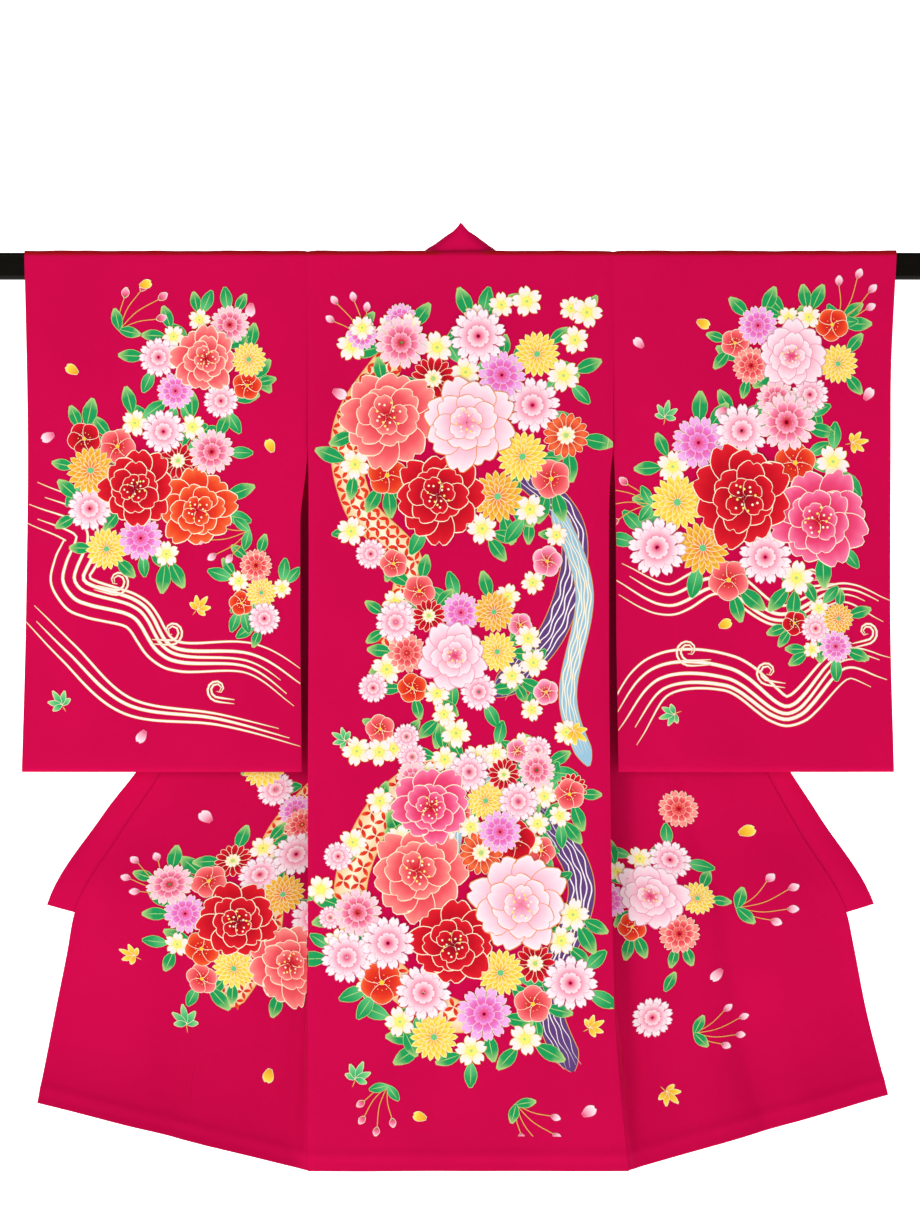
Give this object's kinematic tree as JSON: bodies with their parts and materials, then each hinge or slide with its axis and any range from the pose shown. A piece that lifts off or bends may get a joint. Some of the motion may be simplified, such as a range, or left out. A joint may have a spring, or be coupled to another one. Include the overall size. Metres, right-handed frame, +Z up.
{
  "type": "baby ceremonial kimono on a rail",
  "caption": "Baby's ceremonial kimono in rose silk crepe with square open sleeves, hung flat by a lacquered rail run through both sleeves, its fronts swung out below.",
  "frame": {"origin": "the middle of the rail that the kimono hangs on", "axes": "+Z up; +X along the rail, to the right as seen from the garment's back; -Y the way the back of the garment faces"},
  "size_m": [1.17, 0.063, 1.0885],
  "materials": {
    "silk_crepe": "fine silk crepe in deep rose, softly sheened, with a printed flower design on its outer face and a dark red lining inside",
    "black_lacquer": "smooth black lacquer, glossy"
  },
  "bodies": {
    "root": {"back_body": "silk_crepe", "front_body_left": "silk_crepe", "front_body_right": "silk_crepe", "okumi_left": "silk_crepe", "okumi_right": "silk_crepe", "sleeve_left": "silk_crepe", "sleeve_right": "silk_crepe", "collar": "silk_crepe", "rail": "black_lacquer"}
  },
  "joints": []
}
